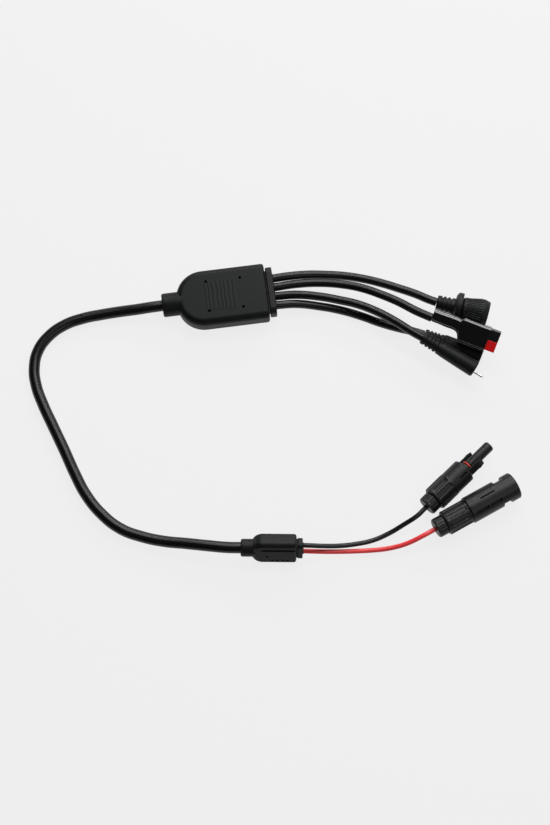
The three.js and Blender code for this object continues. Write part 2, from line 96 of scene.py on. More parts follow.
class Graph:
    """The node tree of one material, around its Principled shader."""

    def __init__(self, name: str) -> None:
        """Makes an empty material with a Principled shader.

        Args:
            name: The material's name.
        """
        self.material = bpy.data.materials.new(name)
        self.material.use_nodes = True
        self.tree = self.material.node_tree
        self.shader = self.tree.nodes["Principled BSDF"]
        self._place: Signal | None = None

    def node(self, kind: str, settings: dict | None = None, inputs: dict | None = None,
             output: int | str = 0) -> Signal:
        """Adds any node.

        Args:
            kind: The node's type.
            settings: Properties of the node, set before its inputs.
            inputs: Values or signals for its sockets, by name or number.
            output: Which output socket to return.

        Returns:
            The chosen output.
        """
        made = self.tree.nodes.new(kind)
        for key, value in (settings or {}).items():
            setattr(made, key, value)
        for key, value in (inputs or {}).items():
            if isinstance(value, Signal):
                self.tree.links.new(value.socket, made.inputs[key])
            else:
                made.inputs[key].default_value = value
        return Signal(self, made.outputs[output])

    def place(self) -> Signal:
        """Reads the Object coordinates through one shared node.

        Returns:
            The coordinates.
        """
        if self._place is None:
            self._place = self.node("ShaderNodeTexCoord", output="Object")
        return self._place

    def noise(self, size_mm: float, detail: float = 3.0, stretch: Point = (1, 1, 1)) -> Signal:
        """Adds a noise.

        Args:
            size_mm: How big its blobs are before the stretch.
            detail: How much fine detail it has.
            stretch: Its scale on the three axes.

        Returns:
            The noise, from 0 to 1.
        """
        where = self.node("ShaderNodeMapping", None, {"Vector": self.place(), "Scale": stretch})
        return self.node("ShaderNodeTexNoise", None,
                         {"Vector": where, "Scale": 1 / (size_mm * MM), "Detail": detail})

    def mix(self, factor: Signal, first: Sequence[float], second: Sequence[float]) -> Signal:
        """Blends two colours by a factor and returns the colour."""
        return self.node("ShaderNodeMix", {"data_type": "RGBA"},
                         {0: factor, 6: (*first, 1), 7: (*second, 1)}, output=2)

    def inside(self, value: Signal, low: float, high: float, fade: float) -> Signal:
        """Tests whether a value is between two limits, with soft ends.

        Args:
            value: The value to test.
            low: The lower limit.
            high: The upper limit.
            fade: How far beyond a limit the answer reaches 0.

        Returns:
            1 inside the limits and 0 well outside.
        """
        rise = self.node("ShaderNodeMapRange", {"interpolation_type": "SMOOTHSTEP"},
                         {0: value, 1: low - fade, 2: low})
        fall = self.node("ShaderNodeMapRange", {"interpolation_type": "SMOOTHSTEP"},
                         {0: value, 1: high, 2: high + fade})
        return rise * (1 - fall)

    def bump(self, height: Signal, depth_mm: float) -> None:
        """Adds a bump on top of the bumps that the shader already has.

        Args:
            height: How high the surface is, from 0 to 1.
            depth_mm: The height of 1, in millimetres.
        """
        before = [link.from_socket for link in self.tree.links
                  if link.to_socket == self.shader.inputs["Normal"]]
        inputs = {"Height": height, "Distance": depth_mm * MM, "Strength": 1.0}
        if before:
            inputs["Normal"] = Signal(self, before[0])
        self.feed("Normal", self.node("ShaderNodeBump", None, inputs, output="Normal"))

    def feed(self, socket: str, value: object) -> None:
        """Links a signal, or sets a plain value, on the Principled shader.

        Args:
            socket: The shader's input.
            value: The signal or the value.
        """
        if isinstance(value, Signal):
            self.tree.links.new(value.socket, self.shader.inputs[socket])
        else:
            self.shader.inputs[socket].default_value = value


# ---- Finishes ----

class Slot(Enum):
    """The record's material slots."""

    MOULDED = "moulded_black"
    JACKET = "cable_jacket"
    RED_JACKET = "red_jacket"
    SLEEVE = "shrink_sleeve"
    HOUSING_BLACK = "housing_black"
    HOUSING_RED = "housing_red"
    SEAL_RED = "seal_red"
    SEAL_GREY = "seal_grey"
    NYLON = "clamp_nylon"
    TIN = "tinned_copper"
    NICKEL = "nickel"
    SPRING = "spring_steel"


@dataclass(frozen=True)
class Finish:
    """A plastic or metal surface.

    Attributes:
        slot: The record's slot that it belongs to.
        dark: The colour in its darker blotches.
        light: The colour in its lighter blotches.
        roughness: The middle roughness.
        spread: How far the roughness wanders.
        blotch_mm: The size of the blotches.
        grain_mm: The size of the surface grain.
        grain_depth_mm: The depth of the surface grain.
        metallic: 1 for metal.
        coat: Clear coat weight.
        specular: How much it mirrors head-on, 0.5 being usual.
        stretch: Scale of the grain on the three axes.
    """

    slot: Slot
    dark: Point
    light: Point
    roughness: float
    spread: float = 0.08
    blotch_mm: float = 9.0
    grain_mm: float = 0.35
    grain_depth_mm: float = 0.02
    metallic: float = 0.0
    coat: float = 0.0
    specular: float = 0.5
    stretch: Point = (1, 1, 1)

    def build(self, name: str) -> bpy.types.Material:
        """Builds the procedural material.

        Args:
            name: The material's name.

        Returns:
            The material.
        """
        graph = Graph(name)
        blotches = graph.noise(self.blotch_mm, 4)
        grain = graph.noise(self.grain_mm, 2, self.stretch)
        graph.feed("Base Color", graph.mix(blotches * 0.7 + grain * 0.3, self.dark, self.light))
        wander = (blotches + grain) * 0.5 - 0.5
        graph.feed("Roughness", wander * (2 * self.spread) + self.roughness)
        graph.feed("Metallic", self.metallic)
        graph.feed("Coat Weight", self.coat)
        graph.feed("Coat Roughness", 0.06)
        graph.feed("Specular IOR Level", self.specular)
        graph.bump(grain * 0.75 + blotches * 0.25, self.grain_depth_mm)
        self.relief(graph)
        return graph.material

    def relief(self, graph: Graph) -> None:
        """Adds whatever stands on the surface, which is nothing for a plain finish."""


@dataclass(frozen=True)
class RibbedMould(Finish):
    """A moulded plastic whose top shows faint ripples across its middle.

    Attributes:
        first: Where the ripples start along X, in metres.
        last: Where they end.
        half_width: How far they reach to each side.
        pitch_mm: From one ripple to the next.
        depth_mm: How high they stand.
        wander: How far a ripple strays from straight, in metres.
        fade: The length over which the field fades out, in metres.
    """

    first: float = -0.0085
    last: float = 0.0125
    half_width: float = 0.0105
    pitch_mm: float = 3.0
    depth_mm: float = 0.11
    wander: float = 0.004
    fade: float = 0.002

    def relief(self, graph: Graph) -> None:
        """Adds the ripples, which wander a little and fade out at the ends of their field.

        Args:
            graph: The finish's shader graph.
        """
        place = graph.place()
        wander = graph.noise(9.0, 1)
        x, y = (graph.node("ShaderNodeSeparateXYZ", None, {0: place}, axis) for axis in "XY")
        phase = (x + (wander - 0.5) * self.wander) * (FULL_TURN / (self.pitch_mm * MM))
        ripple = graph.node("ShaderNodeMath", {"operation": "COSINE"}, {0: phase})
        height = (ripple * 0.5 + 0.5) * graph.inside(x, self.first, self.last, self.fade) \
            * graph.inside(y, -self.half_width, self.half_width, self.fade)
        graph.bump(height, self.depth_mm)


class Finishes:
    """Every finish of the lead, built once and looked up by name."""

    table = {
        "moulded": Finish(Slot.MOULDED, (0.0036, 0.0042, 0.0042), (0.006, 0.0068, 0.0066), 0.48,
                          0.07, specular=0.22),
        "ribbed_mould": RibbedMould(Slot.MOULDED, (0.0034, 0.0042, 0.0044),
                                    (0.0058, 0.0068, 0.007), 0.48, 0.07, specular=0.18),
        "panel_nylon": Finish(Slot.MOULDED, (0.0055, 0.006, 0.0056), (0.0105, 0.011, 0.01), 0.42,
                              0.08, 7.0, 0.3, 0.018, specular=0.33),
        "jacket": Finish(Slot.JACKET, (0.0022, 0.0022, 0.0022), (0.005, 0.0047, 0.0043), 0.3,
                         0.07, 14.0, 0.6, 0.02, specular=0.35),
        "red_jacket": Finish(Slot.RED_JACKET, (0.86, 0.045, 0.05), (0.97, 0.062, 0.066), 0.34,
                             0.06, 10.0, 0.5, 0.012),
        "sleeve": Finish(Slot.SLEEVE, (0.0004, 0.0004, 0.0005), (0.001, 0.001, 0.0012), 0.14, 0.03,
                         5.0, 6.0, 0.01, coat=1.0, specular=0.6),
        "housing_black": Finish(Slot.HOUSING_BLACK, (0.003, 0.003, 0.0032), (0.006, 0.006, 0.0062),
                                0.36, specular=0.35),
        "housing_red": Finish(Slot.HOUSING_RED, (0.68, 0.004, 0.006), (0.82, 0.007, 0.009), 0.32,
                              0.05, 5.0, 0.3, 0.012),
        "seal_red": Finish(Slot.SEAL_RED, (0.56, 0.02, 0.015), (0.68, 0.045, 0.03), 0.38),
        "seal_grey": Finish(Slot.SEAL_GREY, (0.04, 0.04, 0.044), (0.06, 0.06, 0.064), 0.55),
        "nylon": Finish(Slot.NYLON, (0.022, 0.022, 0.024), (0.036, 0.036, 0.038), 0.5),
        "tin": Finish(Slot.TIN, (0.78, 0.76, 0.71), (0.9, 0.88, 0.84), 0.3, 0.1, 3.0, 0.25,
                      0.008, metallic=1),
        "nickel": Finish(Slot.NICKEL, (0.82, 0.81, 0.79), (0.93, 0.92, 0.9), 0.28, 0.08, 3.0, 0.2,
                         0.006, metallic=1),
        "spring": Finish(Slot.SPRING, (0.42, 0.42, 0.44), (0.56, 0.56, 0.58), 0.3, 0.1, 3.0, 0.2,
                         0.006, metallic=1, stretch=(1, 6, 6)),
    }
    _made: dict[str, bpy.types.Material] = {}

    @classmethod
    def get(cls, name: str) -> bpy.types.Material:
        """Finds a finish's material, built the first time.

        Args:
            name: The name of the finish.

        Returns:
            The material.
        """
        if name not in cls._made:
            cls._made[name] = cls.table[name].build(name)
        return cls._made[name]

    @classmethod
    def dress(cls, piece: bpy.types.Object, name: str) -> None:
        """Puts a finish on a piece.

        Args:
            piece: The piece.
            name: The name of the finish.
        """
        piece.data.materials.clear()
        piece.data.materials.append(cls.get(name))


# ---- Shapes ----

@dataclass(frozen=True)
class Standing:
    """Where a piece's own axis stands.

    Attributes:
        place: Its start, in millimetres.
        heading: The turn about Z, in degrees.
        pitch: The rise of its far end, in degrees.
        roll: The turn about its own axis, in degrees.
    """

    place: Point
    heading: float = 0.0
    pitch: float = 0.0
    roll: float = 0.0

    def matrix(self) -> Matrix:
        """Works out the piece's place and turn.

        Returns:
            The transform from the piece's millimetres to the frame's metres.
        """
        turn = (Matrix.Rotation(math.radians(self.heading), 4, "Z")
                @ Matrix.Rotation(math.radians(-self.pitch), 4, "Y")
                @ Matrix.Rotation(math.radians(self.roll), 4, "X"))
        return Matrix.Scale(MM, 4) @ Matrix.Translation(self.place) @ turn

    def point(self, x: float, y: float = 0.0, z: float = 0.0) -> Point:
        """Returns a point of the piece in the frame, in metres."""
        return tuple(self.matrix() @ Vector((x, y, z)))


class Shape:
    """A mesh being made, in millimetres along the piece's own X axis."""

    def __init__(self) -> None:
        """Starts an empty shape."""
        self.bm = bmesh.new()

    @classmethod
    def turned(cls, profile: Profile, facets: int = 64, fillet: float = 0.0) -> "Shape":
        """Spins an open profile round X and closes its ends on the axis.

        Args:
            profile: Points as x and radius, from rear to front.
            facets: How many steps make the full turn.
            fillet: How far its corners are rounded first.

        Returns:
            The solid shape.
        """
        if fillet:
            profile = filleted(profile, fillet)
        ends = [(profile[0][0], 0.0), *profile, (profile[-1][0], 0.0)]
        return cls._spun(ends, facets, closed=False)

    @classmethod
    def ring(cls, profile: Profile, facets: int = 64, fillet: float = 0.0) -> "Shape":
        """Spins a closed outline round X.

        Args:
            profile: Points as x and radius, in order round the outline.
            facets: How many steps make the full turn.
            fillet: How far its corners are rounded first.

        Returns:
            The shape, with a hole along its axis.
        """
        if fillet:
            profile = filleted(profile, fillet, closed=True)
        return cls._spun(profile, facets, closed=True)

    @classmethod
    def _spun(cls, profile: Profile, facets: int, closed: bool) -> "Shape":
        """Spins an outline round X.

        Args:
            profile: Points as x and radius.
            facets: How many steps make the full turn.
            closed: Whether the last point joins the first.

        Returns:
            The spun shape, with its doubles merged and its faces outwards.
        """
        shape = cls()
        bm = shape.bm
        corners = [bm.verts.new((x, radius, 0)) for x, radius in profile]
        pairs = list(zip(corners, corners[1:]))
        if closed:
            pairs.append((corners[-1], corners[0]))
        edges = [bm.edges.new(pair) for pair in pairs]
        bmesh.ops.spin(bm, geom=corners + edges, cent=(0, 0, 0), axis=X_AXIS, angle=FULL_TURN,
                       steps=facets, use_merge=True, use_duplicate=False)
        bmesh.ops.remove_doubles(bm, verts=bm.verts, dist=1e-4)
        return shape.tidied()

    @classmethod
    def prism(cls, outline: Sequence[tuple[float, float]], low: float, high: float) -> "Shape":
        """Raises a flat outline in X and Y between two heights.

        Args:
            outline: Corner points in order.
            low: The height of the bottom face.
            high: The height of the top face.

        Returns:
            The prism.
        """
        shape = cls()
        base = shape.bm.faces.new([shape.bm.verts.new((x, y, low)) for x, y in outline])
        raised = bmesh.ops.extrude_face_region(shape.bm, geom=[base])
        bmesh.ops.translate(shape.bm, vec=(0, 0, high - low), verts=[
            item for item in raised["geom"] if isinstance(item, bmesh.types.BMVert)])
        return shape.tidied()

    @classmethod
    def bar(cls, start: float, end: float, width: float, height: float, corner: float = 0.0,
            steps: int = 5) -> "Shape":
        """Makes a bar along X with rounded long edges.

        Args:
            start: Its rear end.
            end: Its front end.
            width: Its size along Y.
            height: Its size along Z.
            corner: The radius of its long edges.
            steps: How many pieces make each round edge.

        Returns:
            The bar.
        """
        shape = cls.block((start, end), (-width / 2, width / 2), (-height / 2, height / 2))
        if corner:
            along = [e for e in shape.bm.edges
                     if abs((e.verts[0].co - e.verts[1].co).normalized().x) > 0.99]
            shape.round_edges(along, corner, steps)
        return shape

    @classmethod
    def block(cls, x: tuple[float, float], y: tuple[float, float],
              z: tuple[float, float]) -> "Shape":
        """Makes a block from its ranges on the three axes.

        Args:
            x: Its low and high x.
            y: Its low and high y.
            z: Its low and high z.

        Returns:
            The block.
        """
        shape = cls()
        size = Matrix.Diagonal((x[1] - x[0], y[1] - y[0], z[1] - z[0], 1))
        middle = Matrix.Translation((sum(x) / 2, sum(y) / 2, sum(z) / 2))
        bmesh.ops.create_cube(shape.bm, size=1, matrix=middle @ size)
        return shape

    @classmethod
    def lofted(cls, sections: Iterable[tuple[float, float, float, float, float]]) -> "Shape":
        """Joins rounded-off sections along X into one smooth body.

        Args:
            sections: For each, its x, its low and high y, its height and how square it is.

        Returns:
            The smoothed body, closed at both ends.
        """
        shape = cls()
        rings = []
        for x, low, high, height, power in sections:
            made = bmesh.ops.create_circle(shape.bm, cap_ends=False, segments=32, radius=1)
            for vert in made["verts"]:
                across, up = vert.co.x, vert.co.y
                size = (abs(across) ** power + abs(up) ** power) ** (1 / power)
                vert.co = (x, (low + high) / 2 + across / size * (high - low) / 2,
                           up / size * height / 2)
            rings.append(list({edge for vert in made["verts"] for edge in vert.link_edges}))
        for rear, front in zip(rings, rings[1:]):
            bmesh.ops.bridge_loops(shape.bm, edges=rear + front)
        bmesh.ops.holes_fill(shape.bm, edges=rings[0] + rings[-1])
        return shape.tidied().with_modifier("SUBSURF", levels=2, render_levels=2)

    def tidied(self) -> "Shape":
        """Turns every face outwards and returns the shape."""
        bmesh.ops.recalc_face_normals(self.bm, faces=self.bm.faces)
        return self

    def moved(self, x: float = 0.0, y: float = 0.0, z: float = 0.0) -> "Shape":
        """Moves the shape and returns it."""
        bmesh.ops.translate(self.bm, vec=(x, y, z), verts=self.bm.verts)
        return self

    def round_edges(self, edges: Iterable[bmesh.types.BMEdge], width: float,
                    segments: int = 3) -> "Shape":
        """Rounds chosen edges.

        Args:
            edges: The edges.
            width: How far from each edge the rounding starts.
            segments: How many pieces make each round edge.

        Returns:
            The shape.
        """
        bmesh.ops.bevel(self.bm, geom=list(edges), offset=width, segments=segments, profile=0.5,
                        material=-1, affect="EDGES", clamp_overlap=True)
        return self

    def rim_edges(self, degrees: float = 50) -> list[bmesh.types.BMEdge]:
        """Finds the sharp edges.

        Args:
            degrees: The angle.

        Returns:
            The edges whose faces turn by more than the angle.
        """
        limit = math.radians(degrees)
        return [e for e in self.bm.edges if len(e.link_faces) == 2
                and e.calc_face_angle(0) > limit]

    def cut_at(self, x: float) -> "Shape":
        """Cuts the shape square and keeps the part behind the cut.

        Args:
            x: Where the cut is.

        Returns:
            The shape, closed at the cut.
        """
        everything = [*self.bm.verts, *self.bm.edges, *self.bm.faces]
        bmesh.ops.bisect_plane(self.bm, geom=everything, plane_co=(x, 0, 0), plane_no=X_AXIS,
                               clear_outer=True)
        bmesh.ops.holes_fill(self.bm, edges=[e for e in self.bm.edges if e.is_boundary], sides=0)
        return self.tidied()

    def object(self, name: str = "tool") -> bpy.types.Object:
        """Makes a scene object of the shape, which is used up.

        Args:
            name: The object's name.

        Returns:
            The object.
        """
        mesh = bpy.data.meshes.new(name)
        self.bm.to_mesh(mesh)
        self.bm.free()
        return linked(name, mesh)

    def _combined(self, operation: str, tools: Sequence["Shape"]) -> "Shape":
        """Runs one Boolean modifier for each tool and bakes the result.

        Args:
            operation: The modifier's operation.
            tools: The shapes to join or cut out.

        Returns:
            The shape, now holding the baked result.
        """
        body = self.object()
        helpers = [tool.object() for tool in tools]
        for helper in helpers:
            change = body.modifiers.new("join", "BOOLEAN")
            change.operation = operation
            change.solver = "EXACT"
            change.object = helper
        self.bm = baked(body)
        for helper in helpers:
            bpy.data.objects.remove(helper)
        return self

    def joined(self, *tools: "Shape") -> "Shape":
        """Joins tools into one surface with the shape."""
        return self._combined("UNION", tools)

    def carved(self, *tools: "Shape") -> "Shape":
        """Cuts tools out of the shape."""
        return self._combined("DIFFERENCE", tools)

    def with_modifier(self, kind: str, **settings: object) -> "Shape":
        """Bakes one modifier into the shape.

        Args:
            kind: The modifier's type.
            **settings: Its settings, by name.

        Returns:
            The shape.
        """
        body = self.object()
        change = body.modifiers.new("shape", kind)
        for key, value in settings.items():
            setattr(change, key, value)
        self.bm = baked(body)
        return self

    def softened(self, width: float = 0.25, segments: int = 2, degrees: float = 40) -> "Shape":
        """Rounds every edge sharper than an angle."""
        return self.with_modifier("BEVEL", width=width, segments=segments, limit_method="ANGLE",
                                  angle_limit=math.radians(degrees), use_clamp_overlap=True)

    def displaced(self, offset: Callable[[Vector, Vector], Vector]) -> "Shape":
        """Moves each vertex by its own amount.

        Args:
            offset: Gives the move for a place and a normal.

        Returns:
            The shape.
        """
        self.bm.normal_update()
        moves = [offset(v.co.copy(), v.normal.copy()) for v in self.bm.verts]
        for vertex, move in zip(self.bm.verts, moves):
            vertex.co += move
        return self


def linked(name: str, data: bpy.types.ID) -> bpy.types.Object:
    """Makes a scene object of a mesh, a curve, a camera or a lamp.

    Args:
        name: The object's name.
        data: What it shows.

    Returns:
        The object, already in the scene.
    """
    made = bpy.data.objects.new(name, data)
    bpy.context.scene.collection.objects.link(made)
    return made


def baked(body: bpy.types.Object) -> bmesh.types.BMesh:
    """Evaluates an object's modifiers and removes the object.

    Args:
        body: The object with its modifiers.

    Returns:
        A new bmesh of the result.
    """
    view = bpy.context.evaluated_depsgraph_get()
    result = bpy.data.meshes.new_from_object(body.evaluated_get(view))
    bpy.data.objects.remove(body)
    made = bmesh.new()
    made.from_mesh(result)
    bpy.data.meshes.remove(result)
    return made


@dataclass
class Assembly:
    """A sub-assembly that stands somewhere and makes named pieces.

    Attributes:
        standing: Where its own axis stands.
        pieces: The pieces made so far, by name.
    """

    standing: Standing
    pieces: dict[str, bpy.types.Object] = field(default_factory=dict)

    def place(self, shape: Shape, name: str, finish: str, nodes: Sequence[str],
              body: str = "lead") -> bpy.types.Object:
        """Turns a shape into a finished piece of the frame.

        Args:
            shape: The shape, in the assembly's millimetres.
            name: The piece's name.
            finish: The name of its finish.
            nodes: The CAD nodes that it stands for.
            body: The body that it rides on.

        Returns:
            The piece.
        """
        bmesh.ops.transform(shape.bm, matrix=self.standing.matrix(), verts=shape.bm.verts)
        made = shape.object(name)
        made.data.shade_smooth()
        made.data.set_sharp_from_angle(angle=SMOOTH_ANGLE)
        even = made.modifiers.new("even_shading", "WEIGHTED_NORMAL")
        even.keep_sharp = True
        Finishes.dress(made, finish)
        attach(made, body)
        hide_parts(*nodes)
        self.pieces[name] = made
        LOG.info("%s: %d faces, rides on %s", name, len(made.data.polygons), body)
        return made

    def build(self) -> None:
        """Makes every piece, which each kind of sub-assembly does in its own way."""
        raise NotImplementedError

    def keep(self, node: str, finish: str) -> None:
        """Keeps a CAD node as it is and gives it a finish.

        Args:
            node: The node's name.
            finish: The name of its finish.
        """
        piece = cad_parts[node]
        Finishes.dress(piece, finish)
        self.pieces[node] = piece
        LOG.info("%s: kept from the frame", node)


def smoothstep(low: float, high: float, value: float) -> float:
    """Rises smoothly from 0 at low to 1 at high."""
    t = min(1.0, max(0.0, (value - low) / (high - low)))
    return t * t * (3 - 2 * t)


def filleted(outline: Profile, radius: float, closed: bool = False,
             steps: int = 4) -> list[tuple[float, float]]:
    """Rounds the corners of an outline.

    Args:
        outline: Corner points in order.
        radius: How far from each corner the rounding starts.
        closed: Whether the last point joins the first.
        steps: How many pieces make each round corner.

    Returns:
        The rounded outline.
    """
    corners = [Vector(point) for point in outline]
    rounded = []
    for i, corner in enumerate(corners):
        if not closed and i in (0, len(corners) - 1):
            rounded.append(tuple(corner))
            continue
        before = corners[i - 1] - corner
        after = corners[(i + 1) % len(corners)] - corner
        reach = min(radius, 0.45 * before.length, 0.45 * after.length)
        start = corner + before.normalized() * reach
        end = corner + after.normalized() * reach
        for k in range(steps + 1):
            t = k / steps
            rounded.append(tuple(start.lerp(corner, t).lerp(corner.lerp(end, t), t)))
    return rounded


def sampled(outline: Profile, step: float, closed: bool = False) -> list[tuple[float, float]]:
    """Splits the long stretches of an outline into short ones.

    Args:
        outline: Points in order.
        step: The longest stretch that is left.
        closed: Whether the last point joins the first.

    Returns:
        The outline with more points on the same lines.
    """
    points = [*outline, outline[0]] if closed else list(outline)
    result = [points[0]]
    for first, second in zip(points, points[1:]):
        parts = max(1, math.ceil(math.dist(first, second) / step))
        result.extend((first[0] + (second[0] - first[0]) * k / parts,
                       first[1] + (second[1] - first[1]) * k / parts)
                      for k in range(1, parts + 1))
    return result[:-1] if closed else result


def arc(centre: tuple[float, float], radius: float, start: float, end: float,
        steps: int = 12) -> list[tuple[float, float]]:
    """Lays points along an arc.

    Args:
        centre: The centre of the arc.
        radius: Its radius.
        start: The angle of its first point, in degrees.
        end: The angle of its last point, in degrees.
        steps: How many pieces make it.

    Returns:
        The points, both ends included.
    """
    angles = (math.radians(start + (end - start) * k / steps) for k in range(steps + 1))
    return [(centre[0] + radius * math.cos(a), centre[1] + radius * math.sin(a))
            for a in angles]


def flutes(count: int, depth: float, start: float, end: float, phase: float = 0.0,
           width: float = 0.4, fade: float = 1.2,
           least_radius: float = 0.0) -> Callable[[Vector, Vector], Vector]:
    """Makes the displacement that presses straight hollows between raised ribs round X.

    Args:
        count: How many ribs go round.
        depth: How deep the hollows are.
        start: Where the hollows start along X.
        end: Where they end.
        phase: The angle of one rib, in degrees.
        width: The share of the round that the ribs take.
        fade: The length over which each hollow runs out.
        least_radius: Vertices nearer the axis than this stay where they are.

    Returns:
        A function of a vertex's place and normal.
    """
    edge = math.cos(math.pi * width)

    def press(place: Vector, normal: Vector) -> Vector:
        """Works out how far a vertex moves towards the axis.

        Args:
            place: The vertex's place.
            normal: Its normal, which makes no difference here.

        Returns:
            The move.
        """
        radius = math.hypot(place.y, place.z)
        if radius <= least_radius or not start < place.x < end:
            return Vector((0, 0, 0))
        wave = math.cos(count * (math.atan2(place.z, place.y) - math.radians(phase)))
        hollow = 1 - smoothstep(edge - 0.28, edge + 0.28, wave)
        ends = (smoothstep(start, start + fade, place.x)
                * smoothstep(start, start + fade, start + end - place.x))
        return Vector((0, -place.y, -place.z)) / radius * depth * hollow * ends

    return press


# ---- Camera, light and floor ----

@dataclass(frozen=True)
class Lamp:
    """A soft rectangular lamp.

    Attributes:
        name: The lamp's name.
        place: Where it hangs, in metres.
        size: Its width and length, in metres.
        power: Its power in watts.
    """

    name: str
    place: Point
    size: tuple[float, float]
    power: float

    def hang(self, target: Vector) -> None:
        """Hangs the lamp so that it faces a point.

        Args:
            target: The point.
        """
        data = bpy.data.lights.new(self.name, "AREA")
        data.shape = "RECTANGLE"
        data.size, data.size_y = self.size
        data.energy = self.power
        lamp = linked(self.name, data)
        lamp.location = self.place
        lamp.rotation_euler = (target - lamp.location).to_track_quat("-Z", "Y").to_euler()


@dataclass(frozen=True)
class Studio:
    """A pale floor, soft light and the camera.

    Attributes:
        target: The point that the camera looks at, in metres.
        distance: From the camera to the target.
        elevation: The camera's height above the horizon, in degrees.
        heading: How far the camera is turned from +Y towards +X, in degrees.
        lens: The focal length in millimetres.
        floor_reach: Half the floor's side, in metres.
        floor_gap: How far the floor is below the lead, in metres.
        floor_grey: How much light the floor throws back.
        floor_glow: How much light comes through the floor, as on a light table.
        sky: The strength of the light from all round.
        lamps: The lamps over the lead.
    """

    target: Point = (0.03084, -0.09446, 0.009)
    distance: float = 1.1
    elevation: float = 75.0
    heading: float = 7.45
    lens: float = 64.4
    floor_reach: float = 60.0
    floor_gap: float = 0.0002
    floor_grey: float = 0.07
    floor_glow: float = 0.81
    sky: float = 0.05
    lamps: tuple[Lamp, ...] = (
        Lamp("window", (0.3, 0.48, 1.05), (1.1, 0.5), 9.0),
        Lamp("strip", (0.45, 1.05, 0.62), (1.5, 0.24), 12.0),
        Lamp("fill", (0.6, -0.8, 1.1), (0.9, 0.6), 2.5),
    )

    def camera(self) -> None:
        """Makes the scene's camera."""
        rise, turn = math.radians(self.elevation), math.radians(self.heading)
        view = Vector((math.sin(turn) * math.cos(rise), math.cos(turn) * math.cos(rise),
                       -math.sin(rise)))
        data = bpy.data.cameras.new("camera")
        data.lens = self.lens
        data.sensor_width = 36
        camera = linked("camera", data)
        camera.location = Vector(self.target) - view * self.distance
        camera.rotation_euler = view.to_track_quat("-Z", "Y").to_euler()
        bpy.context.scene.camera = camera

    def floor(self) -> None:
        """Makes the glowing floor, just under the lead."""
        sheet = Shape()
        bmesh.ops.create_grid(sheet.bm, x_segments=1, y_segments=1, size=self.floor_reach)
        floor = sheet.object("floor")
        floor.location.z = -self.floor_gap
        graph = Graph("floor_paper")
        graph.feed("Base Color", (*(self.floor_grey,) * 3, 1))
        graph.feed("Emission Color", (1, 1, 1, 1))
        graph.feed("Emission Strength", self.floor_glow)
        graph.feed("Roughness", 0.9)
        graph.feed("Specular IOR Level", 0.1)
        floor.data.materials.append(graph.material)

    def build(self) -> None:
        """Makes the floor, the light from all round and the lamps."""
        self.floor()
        world = bpy.data.worlds.new("studio")
        world.use_nodes = True
        world.node_tree.nodes["Background"].inputs["Color"].default_value = (1, 1, 1, 1)
        world.node_tree.nodes["Background"].inputs["Strength"].default_value = self.sky
        bpy.context.scene.world = world
        for lamp in self.lamps:
            lamp.hang(Vector(self.target))
        bpy.context.scene.view_settings.view_transform = "Standard"


# ---- Where everything stands ----

MAIN_AXIS = Standing((0, 0, 9))
SMALL_AXIS = Standing((-6.6, -192.6, 11.1), heading=-8, roll=60)
PROBE_AXIS = Standing((131.5, -180, 9.6), heading=36.5, roll=-45)
SHELL_AXIS = Standing((135.4, -197.1, 10.3), heading=21.6, roll=10)
ROUND_AXIS = Standing((164.1, -25.5, 11.7), heading=-22.4, roll=90)
PAIR_AXIS = Standing((157, -40.5, 21.6), heading=-29.1, roll=30)
SLIM_AXIS = Standing((148.3, -53.2, 16), heading=-38.4, pitch=-5.5)
BARREL_AXIS = Standing((151.5, -48.2, 6.4), heading=-29.6)
WIRE_STATIONS = (-9, -3, 8, 20, 31.6)

MAIN_ROUTE = (
    (-0.0428, 0, 0.009), (-0.052, 0, 0.0086), (-0.062, 0, 0.0076), (-0.076, 0.0004, 0.006),
    (-0.09, 0.0002, 0.005), (-0.104, -0.0008, 0.0046), (-0.118, -0.004, 0.0045),
    (-0.131, -0.0112, 0.0045), (-0.1405, -0.022, 0.0045), (-0.1446, -0.035, 0.0045),
    (-0.1444, -0.049, 0.0045), (-0.1405, -0.065, 0.0045), (-0.1348, -0.082, 0.0045),
    (-0.1283, -0.101, 0.0045), (-0.122, -0.1205, 0.0045), (-0.1156, -0.137, 0.0045),
    (-0.1055, -0.1532, 0.0045), (-0.0925, -0.1662, 0.0047), (-0.0775, -0.1742, 0.0052),
    (-0.062, -0.1798, 0.0062), (-0.046, -0.1838, 0.008), (-0.0305, -0.1878, 0.0098),
    (-0.017, -0.191, 0.0109), (-0.00695, -0.19255, 0.0111),
)
ROUND_ROUTE = (
    (0.0428, 0.0108, 0.009), (0.056, 0.0112, 0.0088), (0.07, 0.0108, 0.008),
    (0.084, 0.0091, 0.0072), (0.097, 0.0067, 0.0068), (0.1107, 0.0027, 0.0068),
    (0.124, -0.0028, 0.0076), (0.137, -0.0095, 0.009), (0.149, -0.0163, 0.0106),
    (0.1575, -0.0219, 0.0115), (0.1634, -0.0252, 0.0117),
)
PAIR_ROUTE = (
    (0.0428, 0.0036, 0.009), (0.06, 0.004, 0.0092), (0.078, 0.0023, 0.01),
    (0.096, -0.0021, 0.0116), (0.109, -0.0074, 0.0136), (0.1217, -0.0149, 0.016),
    (0.134, -0.0235, 0.0186), (0.1455, -0.033, 0.021), (0.1565, -0.0402, 0.0216),
)
SLIM_ROUTE = (
    (0.0428, -0.0036, 0.009), (0.0585, -0.0048, 0.01), (0.0765, -0.0092, 0.0114),
    (0.09, -0.0138, 0.0119), (0.103, -0.0194, 0.0136), (0.115, -0.0266, 0.0152),
    (0.1235, -0.0329, 0.0162), (0.1315, -0.0395, 0.0167), (0.14, -0.0469, 0.0166),
    (0.14805, -0.053, 0.0161),
)
